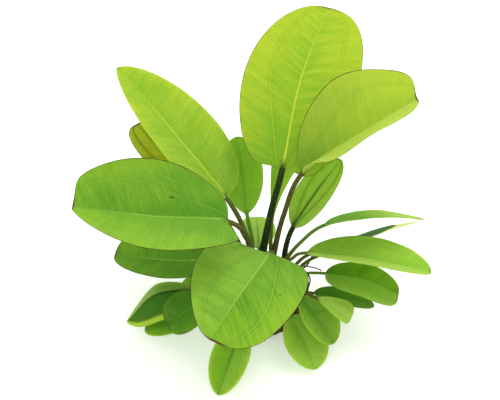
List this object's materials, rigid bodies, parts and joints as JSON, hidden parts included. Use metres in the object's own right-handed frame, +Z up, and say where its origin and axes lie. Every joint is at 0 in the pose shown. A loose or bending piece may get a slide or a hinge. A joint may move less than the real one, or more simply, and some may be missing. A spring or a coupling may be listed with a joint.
{
  "type": "aquarium plant",
  "caption": "Rosette water plant with broad folded oval leaves on round stalks, rising from a short crown in a matted root ball.",
  "frame": {"origin": "middle of the root ball's flat underside", "axes": "+Z upwards along the crown, +Y away from the viewer towards the tallest leaf, +X to the viewer's right"},
  "size_m": [0.2146, 0.1919, 0.1666],
  "materials": {
    "root_ball": "matted root fibres",
    "crown": "matt plant tissue",
    "leaf_back_tall": "leaf, satin, lets light through",
    "leaf_right_tall": "leaf, satin, lets light through",
    "leaf_back_middle": "leaf, satin, lets light through",
    "leaf_back_right": "leaf, satin, lets light through",
    "leaf_right_arched": "leaf, satin, lets light through",
    "leaf_right_slim": "leaf, satin, lets light through",
    "leaf_right_pale": "leaf, satin, lets light through",
    "leaf_right_broad": "leaf, satin, lets light through",
    "leaf_right_low": "leaf, satin, lets light through",
    "leaf_right_under": "leaf, satin, lets light through",
    "leaf_front_right_small": "leaf, satin, lets light through",
    "leaf_front_right": "leaf, satin, lets light through",
    "leaf_front_right_low": "leaf, satin, lets light through",
    "leaf_front_broad": "leaf, satin, lets light through",
    "leaf_front_low": "leaf, satin, lets light through",
    "leaf_front_left": "leaf, satin, lets light through",
    "leaf_front_left_under": "leaf, satin, lets light through",
    "leaf_left_drooping": "leaf, satin, lets light through",
    "leaf_left_small": "leaf, satin, lets light through",
    "leaf_left_low": "leaf, satin, lets light through",
    "leaf_left_under": "leaf, satin, lets light through",
    "leaf_left_broad": "leaf, satin, lets light through",
    "leaf_back_left_young": "leaf, satin, lets light through",
    "leaf_back_left_tall": "leaf, satin, lets light through",
    "leaf_back_upright": "leaf, satin, lets light through",
    "leaf_back_low": "leaf, satin, lets light through"
  },
  "bodies": {
    "root": {"root_ball": "root_ball", "crown": "crown", "leaf_back_tall": "leaf_back_tall", "leaf_right_tall": "leaf_right_tall", "leaf_back_middle": "leaf_back_middle", "leaf_back_right": "leaf_back_right", "leaf_right_arched": "leaf_right_arched", "leaf_right_slim": "leaf_right_slim", "leaf_right_pale": "leaf_right_pale", "leaf_right_broad": "leaf_right_broad", "leaf_right_low": "leaf_right_low", "leaf_right_under": "leaf_right_under", "leaf_front_right_small": "leaf_front_right_small", "leaf_front_right": "leaf_front_right", "leaf_front_right_low": "leaf_front_right_low", "leaf_front_broad": "leaf_front_broad", "leaf_front_low": "leaf_front_low", "leaf_front_left": "leaf_front_left", "leaf_front_left_under": "leaf_front_left_under", "leaf_left_drooping": "leaf_left_drooping", "leaf_left_small": "leaf_left_small", "leaf_left_low": "leaf_left_low", "leaf_left_under": "leaf_left_under", "leaf_left_broad": "leaf_left_broad", "leaf_back_left_young": "leaf_back_left_young", "leaf_back_left_tall": "leaf_back_left_tall", "leaf_back_upright": "leaf_back_upright", "leaf_back_low": "leaf_back_low"}
  },
  "joints": []
}
